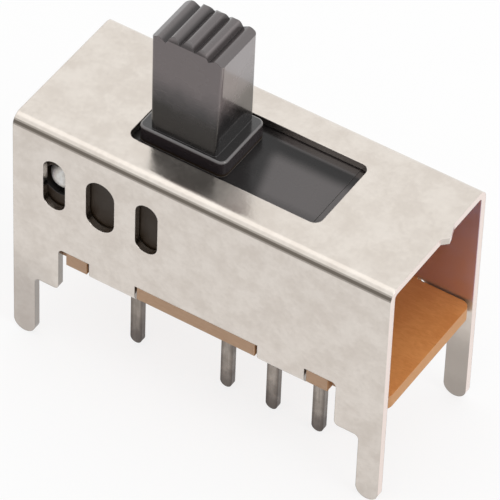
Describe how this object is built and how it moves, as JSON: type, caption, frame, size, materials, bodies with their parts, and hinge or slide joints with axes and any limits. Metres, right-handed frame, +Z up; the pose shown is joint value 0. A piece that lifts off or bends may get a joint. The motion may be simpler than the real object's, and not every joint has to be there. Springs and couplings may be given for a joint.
{
  "type": "slide switch",
  "caption": "Miniature slide switch for a circuit board: folded steel frame, ribbed black slider on sprung detents, leaf contacts and blade terminals on a phenolic board.",
  "frame": {"origin": "centre of the frame in plan, at the tips of the four legs", "axes": "+X along the slider's travel, from the common terminals to the throws; +Z up, out of the knob; the rest pose has the slider at the left-hand end of its travel"},
  "size_m": [0.0162, 0.0066, 0.0159],
  "materials": {
    "tinned_steel": "tin-plated, satin with fine mottling",
    "phenolic_board": "paper-filled phenolic, orange-brown, satin",
    "plated_brass": "silver-plated brass strip, slightly dull",
    "black_moulding": "black, moulded, glossy",
    "phosphor_bronze": "bare spring bronze, polished where it wipes",
    "ball_steel": "ground and polished bearing steel",
    "spring_wire": "drawn spring wire"
  },
  "bodies": {
    "housing": {"frame": "tinned_steel", "base_board": "phenolic_board", "terminal_front_common": "plated_brass", "terminal_front_1": "plated_brass", "terminal_front_2": "plated_brass", "terminal_front_3": "plated_brass", "terminal_back_common": "plated_brass", "terminal_back_1": "plated_brass", "terminal_back_2": "plated_brass", "terminal_back_3": "plated_brass"},
    "slider": {"slider": "black_moulding", "leaf_contact_front": "phosphor_bronze", "leaf_contact_back": "phosphor_bronze", "detent_ball_front": "ball_steel", "detent_ball_back": "ball_steel", "detent_spring": "spring_wire"}
  },
  "joints": [
    {"name": "slide_travel", "type": "slide", "parent": "housing", "child": "slider", "axis": [1, 0, 0], "range_m": [0, 0.004]}
  ]
}
